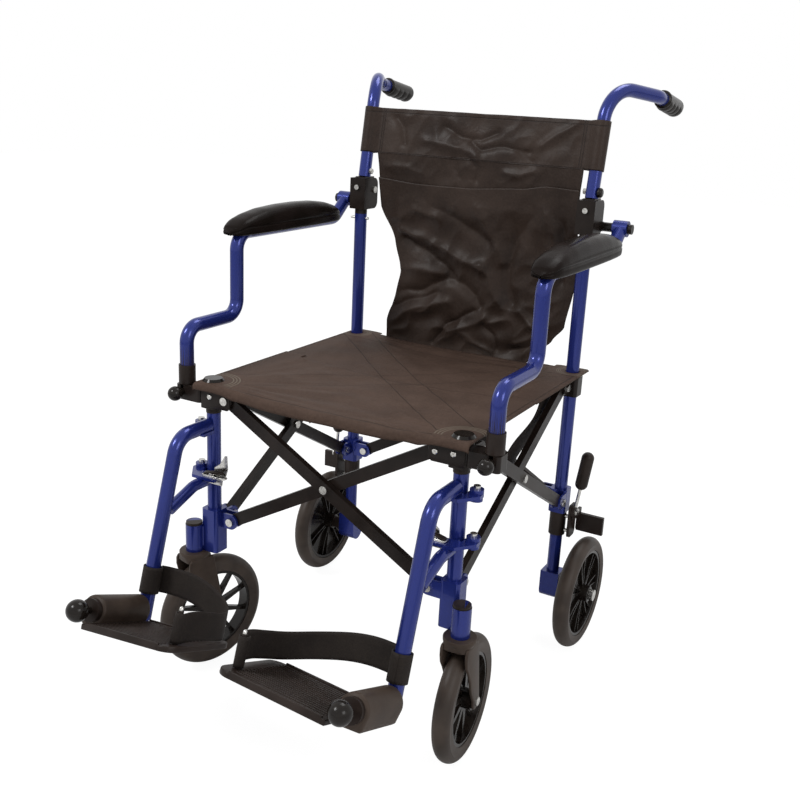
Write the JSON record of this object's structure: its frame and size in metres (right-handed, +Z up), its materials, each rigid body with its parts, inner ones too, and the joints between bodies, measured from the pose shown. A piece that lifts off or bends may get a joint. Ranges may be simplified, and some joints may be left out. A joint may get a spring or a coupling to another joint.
{
  "type": "transport wheelchair",
  "caption": "Folding transport wheelchair with crossed frame bars, sling seat and back, flip-up arms, swing-away footrests and small wheels.",
  "frame": {"origin": "on the floor, below the centre of the overall bounding box", "axes": "+Z up, -Y the way the chair faces, +X towards the occupant's left hand"},
  "size_m": [0.5966, 0.9906, 0.9685],
  "materials": {
    "paint": "glossy metallic blue enamel",
    "black_metal": "black powder coat",
    "plastic": "moulded black nylon",
    "gloss": "polished black plastic",
    "pad": "black foamed skin",
    "tyre": "dark grey solid rubber",
    "cloth": "black-brown woven nylon",
    "webbing": "black woven webbing"
  },
  "bodies": {
    "rear_frame_right": {"rear_post_right": "paint", "hinge_bracket_right": "black_metal"},
    "front_frame_right": {"front_post_right": "paint"},
    "rear_block_right": {"rear_block_right": "black_metal", "seat_sling": "cloth", "side_strap_right": "webbing"},
    "front_block_right": {"front_block_right": "black_metal"},
    "side_bar_outer_right": {"side_bar_outer_right": "black_metal"},
    "side_bar_inner_right": {"side_bar_inner_right": "black_metal"},
    "back_tube_right": {"back_tube_right": "paint", "grip_right": "plastic", "back_upper": "cloth", "back_lower": "cloth"},
    "arm_pin_right": {"arm_pin_right": "black_metal"},
    "armrest_right": {"arm_tube_right": "paint", "arm_pad_right": "pad"},
    "arm_knob_right": {"arm_knob_right": "gloss"},
    "leg_rest_right": {"leg_hanger_right": "paint"},
    "leg_latch_right": {"leg_latch_right": "black_metal"},
    "foot_spindle_right": {"foot_spindle_right": "black_metal"},
    "footplate_right": {"footplate_right": "plastic", "heel_strap_right": "webbing"},
    "foot_knob_right": {"foot_knob_right": "gloss"},
    "caster_fork_right": {"caster_fork_right": "plastic"},
    "caster_wheel_right": {"caster_tyre_right": "tyre", "caster_rim_right": "plastic"},
    "rear_wheel_right": {"rear_tyre_right": "tyre", "rear_rim_right": "plastic"},
    "brake_lever_right": {"brake_lever_right": "black_metal"},
    "rear_frame_left": {"rear_post_left": "paint", "hinge_bracket_left": "black_metal"},
    "front_frame_left": {"front_post_left": "paint"},
    "rear_block_left": {"rear_block_left": "black_metal", "side_strap_left": "webbing"},
    "front_block_left": {"front_block_left": "black_metal"},
    "side_bar_outer_left": {"side_bar_outer_left": "black_metal"},
    "side_bar_inner_left": {"side_bar_inner_left": "black_metal"},
    "back_tube_left": {"back_tube_left": "paint", "grip_left": "plastic"},
    "arm_pin_left": {"arm_pin_left": "black_metal"},
    "armrest_left": {"arm_tube_left": "paint", "arm_pad_left": "pad"},
    "arm_knob_left": {"arm_knob_left": "gloss"},
    "leg_rest_left": {"leg_hanger_left": "paint"},
    "leg_latch_left": {"leg_latch_left": "black_metal"},
    "foot_spindle_left": {"foot_spindle_left": "black_metal"},
    "footplate_left": {"footplate_left": "plastic", "heel_strap_left": "webbing"},
    "foot_knob_left": {"foot_knob_left": "gloss"},
    "caster_fork_left": {"caster_fork_left": "plastic"},
    "caster_wheel_left": {"caster_tyre_left": "tyre", "caster_rim_left": "plastic"},
    "rear_wheel_left": {"rear_tyre_left": "tyre", "rear_rim_left": "plastic"},
    "brake_lever_left": {"brake_lever_left": "black_metal"},
    "front_bar_a": {"front_bar_a": "black_metal"},
    "front_bar_b": {"front_bar_b": "black_metal"},
    "rear_bar_a": {"rear_bar_a": "black_metal"},
    "rear_bar_b": {"rear_bar_b": "black_metal"},
    "back_lock_knob": {"back_lock_knob": "gloss"}
  },
  "joints": [
    {"name": "frame_fold", "type": "hinge", "parent": "rear_frame_right", "child": "rear_bar_a", "pos_m": [-0.182, 0.235, 0.27], "axis": [0, -1, 0], "range_deg": [0, 36.5], "deforming": ["seat_sling", "back_upper", "back_lower", "side_strap_left", "side_strap_right"]},
    {"name": "rear_scissor", "type": "hinge", "parent": "rear_bar_a", "child": "rear_bar_b", "pos_m": [0, 0.235, 0.373], "axis": [0, -1, 0], "range_deg": [-74, 1]},
    {"name": "rear_left_foot", "type": "hinge", "parent": "rear_bar_b", "child": "rear_frame_left", "pos_m": [0.182, 0.235, 0.27], "axis": [0, -1, 0], "range_deg": [-1, 37.5]},
    {"name": "rear_right_top", "type": "hinge", "parent": "rear_bar_b", "child": "rear_block_right", "pos_m": [-0.182, 0.235, 0.476], "axis": [0, -1, 0], "range_deg": [-1, 37.5]},
    {"name": "rear_left_top", "type": "hinge", "parent": "rear_bar_a", "child": "rear_block_left", "pos_m": [0.182, 0.235, 0.476], "axis": [0, -1, 0], "range_deg": [-37.5, 1]},
    {"name": "side_right_foot", "type": "hinge", "parent": "rear_frame_right", "child": "side_bar_outer_right", "pos_m": [-0.216, 0.207, 0.27], "axis": [-1, 0, 0], "range_deg": [-1, 37.5]},
    {"name": "side_right_scissor", "type": "hinge", "parent": "side_bar_outer_right", "child": "side_bar_inner_right", "pos_m": [-0.216, 0.025, 0.373], "axis": [-1, 0, 0], "range_deg": [-74, 1]},
    {"name": "side_right_front_foot", "type": "hinge", "parent": "side_bar_inner_right", "child": "front_frame_right", "pos_m": [-0.216, -0.157, 0.27], "axis": [-1, 0, 0], "range_deg": [-1, 37.5]},
    {"name": "side_right_front_top", "type": "hinge", "parent": "side_bar_outer_right", "child": "front_block_right", "pos_m": [-0.216, -0.157, 0.476], "axis": [-1, 0, 0], "range_deg": [-37.5, 1]},
    {"name": "front_right_foot", "type": "hinge", "parent": "front_frame_right", "child": "front_bar_a", "pos_m": [-0.182, -0.185, 0.27], "axis": [0, -1, 0], "range_deg": [-1, 37.5]},
    {"name": "front_scissor", "type": "hinge", "parent": "front_bar_a", "child": "front_bar_b", "pos_m": [0, -0.185, 0.373], "axis": [0, -1, 0], "range_deg": [-74, 1]},
    {"name": "front_left_foot", "type": "hinge", "parent": "front_bar_b", "child": "front_frame_left", "pos_m": [0.182, -0.185, 0.27], "axis": [0, -1, 0], "range_deg": [-1, 37.5]},
    {"name": "front_left_top", "type": "hinge", "parent": "front_bar_a", "child": "front_block_left", "pos_m": [0.182, -0.185, 0.476], "axis": [0, -1, 0], "range_deg": [-37.5, 1]},
    {"name": "side_left_foot", "type": "hinge", "parent": "rear_frame_left", "child": "side_bar_outer_left", "pos_m": [0.216, 0.207, 0.27], "axis": [-1, 0, 0], "range_deg": [-1, 37.5]},
    {"name": "side_left_scissor", "type": "hinge", "parent": "side_bar_outer_left", "child": "side_bar_inner_left", "pos_m": [0.216, 0.025, 0.373], "axis": [-1, 0, 0], "range_deg": [-74, 1]},
    {"name": "back_fold", "type": "hinge", "parent": "rear_frame_right", "child": "back_tube_right", "pos_m": [-0.216, 0.253, 0.765], "axis": [-1, 0, 0], "range_deg": [0, 150], "deforming": ["back_lower"]},
    {"name": "back_fold_left", "type": "hinge", "parent": "rear_frame_left", "child": "back_tube_left", "pos_m": [0.216, 0.253, 0.765], "axis": [-1, 0, 0], "range_deg": [-1, 151]},
    {"name": "back_lock_pull", "type": "slide", "parent": "back_tube_left", "child": "back_lock_knob", "axis": [1, 0, 0], "range_m": [0, 0.005], "stiffness_N_per_m": 600},
    {"name": "arm_lift_with_frame_right", "type": "hinge", "parent": "rear_frame_right", "child": "arm_pin_right", "pos_m": [-0.265, 0.26, 0.743], "axis": [-1, 0, 0], "range_deg": [-1, 95]},
    {"name": "arm_flip_right", "type": "hinge", "parent": "arm_pin_right", "child": "armrest_right", "pos_m": [-0.265, 0.26, 0.743], "axis": [1, 0, 0], "range_deg": [-90, 0]},
    {"name": "arm_knob_pull_right", "type": "slide", "parent": "front_block_right", "child": "arm_knob_right", "axis": [0, -1, 0], "range_m": [0, 0.006], "stiffness_N_per_m": 500},
    {"name": "leg_swing_right", "type": "hinge", "parent": "front_frame_right", "child": "leg_rest_right", "pos_m": [-0.241, -0.185, 0.38], "axis": [0, 0, -1], "range_deg": [0, 90]},
    {"name": "leg_latch_turn_right", "type": "hinge", "parent": "leg_rest_right", "child": "leg_latch_right", "pos_m": [-0.198, -0.2121, 0.355], "axis": [0, 0, -1], "range_deg": [0, 20]},
    {"name": "foot_lift_with_frame_right", "type": "hinge", "parent": "leg_rest_right", "child": "foot_spindle_right", "pos_m": [-0.216, -0.40685, 0.20394], "axis": [0, 0.9171, -0.3987], "range_deg": [-1, 91.5], "deforming": ["heel_strap_right"]},
    {"name": "foot_flip_right", "type": "hinge", "parent": "foot_spindle_right", "child": "footplate_right", "pos_m": [-0.216, -0.40685, 0.20394], "axis": [0, -0.9171, 0.3987], "range_deg": [-90, 0], "deforming": ["heel_strap_right"]},
    {"name": "foot_knob_pull_right", "type": "slide", "parent": "foot_spindle_right", "child": "foot_knob_right", "axis": [0, -0.9171, 0.3987], "range_m": [0, 0.008], "stiffness_N_per_m": 500},
    {"name": "caster_swivel_right", "type": "hinge", "parent": "front_frame_right", "child": "caster_fork_right", "pos_m": [-0.241, -0.206, 0.23], "axis": [0, 0, 1], "continuous": true},
    {"name": "caster_spin_right", "type": "hinge", "parent": "caster_fork_right", "child": "caster_wheel_right", "pos_m": [-0.23245, -0.1762, 0.096], "axis": [0.9613, -0.2756, 0], "continuous": true},
    {"name": "rear_spin_right", "type": "hinge", "parent": "rear_frame_right", "child": "rear_wheel_right", "pos_m": [-0.27, 0.23, 0.1], "axis": [1, 0, 0], "continuous": true},
    {"name": "brake_right", "type": "hinge", "parent": "rear_frame_right", "child": "brake_lever_right", "pos_m": [-0.247, 0.227, 0.25], "axis": [-1, 0, 0], "range_deg": [0, 14]},
    {"name": "arm_lift_with_frame_left", "type": "hinge", "parent": "rear_frame_left", "child": "arm_pin_left", "pos_m": [0.265, 0.26, 0.743], "axis": [-1, 0, 0], "range_deg": [-1, 95]},
    {"name": "arm_flip_left", "type": "hinge", "parent": "arm_pin_left", "child": "armrest_left", "pos_m": [0.265, 0.26, 0.743], "axis": [1, 0, 0], "range_deg": [-90, 0]},
    {"name": "arm_knob_pull_left", "type": "slide", "parent": "front_block_left", "child": "arm_knob_left", "axis": [0, -1, 0], "range_m": [0, 0.006], "stiffness_N_per_m": 500},
    {"name": "leg_swing_left", "type": "hinge", "parent": "front_frame_left", "child": "leg_rest_left", "pos_m": [0.241, -0.185, 0.38], "axis": [0, 0, 1], "range_deg": [0, 90]},
    {"name": "leg_latch_turn_left", "type": "hinge", "parent": "leg_rest_left", "child": "leg_latch_left", "pos_m": [0.198, -0.2121, 0.355], "axis": [0, 0, 1], "range_deg": [0, 20]},
    {"name": "foot_lift_with_frame_left", "type": "hinge", "parent": "leg_rest_left", "child": "foot_spindle_left", "pos_m": [0.216, -0.40685, 0.20394], "axis": [0, -0.9171, 0.3987], "range_deg": [-1, 91.5], "deforming": ["heel_strap_left"]},
    {"name": "foot_flip_left", "type": "hinge", "parent": "foot_spindle_left", "child": "footplate_left", "pos_m": [0.216, -0.40685, 0.20394], "axis": [0, 0.9171, -0.3987], "range_deg": [-90, 0], "deforming": ["heel_strap_left"]},
    {"name": "foot_knob_pull_left", "type": "slide", "parent": "foot_spindle_left", "child": "foot_knob_left", "axis": [0, -0.9171, 0.3987], "range_m": [0, 0.008], "stiffness_N_per_m": 500},
    {"name": "caster_swivel_left", "type": "hinge", "parent": "front_frame_left", "child": "caster_fork_left", "pos_m": [0.241, -0.206, 0.23], "axis": [0, 0, 1], "continuous": true},
    {"name": "caster_spin_left", "type": "hinge", "parent": "caster_fork_left", "child": "caster_wheel_left", "pos_m": [0.2383, -0.17512, 0.096], "axis": [0.9962, 0.0872, 0], "continuous": true},
    {"name": "rear_spin_left", "type": "hinge", "parent": "rear_frame_left", "child": "rear_wheel_left", "pos_m": [0.27, 0.23, 0.1], "axis": [1, 0, 0], "continuous": true},
    {"name": "brake_left", "type": "hinge", "parent": "rear_frame_left", "child": "brake_lever_left", "pos_m": [0.247, 0.227, 0.25], "axis": [-1, 0, 0], "range_deg": [0, 14]}
  ],
  "couplings": [
    {"joint": "rear_scissor", "follows": "frame_fold", "ratio": -2},
    {"joint": "rear_left_foot", "follows": "frame_fold", "ratio": 1},
    {"joint": "rear_right_top", "follows": "frame_fold", "ratio": 1},
    {"joint": "rear_left_top", "follows": "frame_fold", "ratio": -1},
    {"joint": "side_right_foot", "follows": "frame_fold", "ratio": 1},
    {"joint": "side_right_scissor", "follows": "frame_fold", "ratio": -2},
    {"joint": "side_right_front_foot", "follows": "frame_fold", "ratio": 1},
    {"joint": "side_right_front_top", "follows": "frame_fold", "ratio": -1},
    {"joint": "front_right_foot", "follows": "frame_fold", "ratio": 1},
    {"joint": "front_scissor", "follows": "frame_fold", "ratio": -2},
    {"joint": "front_left_foot", "follows": "frame_fold", "ratio": 1},
    {"joint": "front_left_top", "follows": "frame_fold", "ratio": -1},
    {"joint": "side_left_foot", "follows": "frame_fold", "ratio": 1},
    {"joint": "side_left_scissor", "follows": "frame_fold", "ratio": -2},
    {"joint": "back_fold_left", "follows": "back_fold", "ratio": 1},
    {"joint": "arm_lift_with_frame_right", "follows": "frame_fold", "ratio": 2.55},
    {"joint": "foot_lift_with_frame_right", "follows": "frame_fold", "ratio": 2.47},
    {"joint": "arm_lift_with_frame_left", "follows": "frame_fold", "ratio": 2.55},
    {"joint": "foot_lift_with_frame_left", "follows": "frame_fold", "ratio": 2.47}
  ]
}
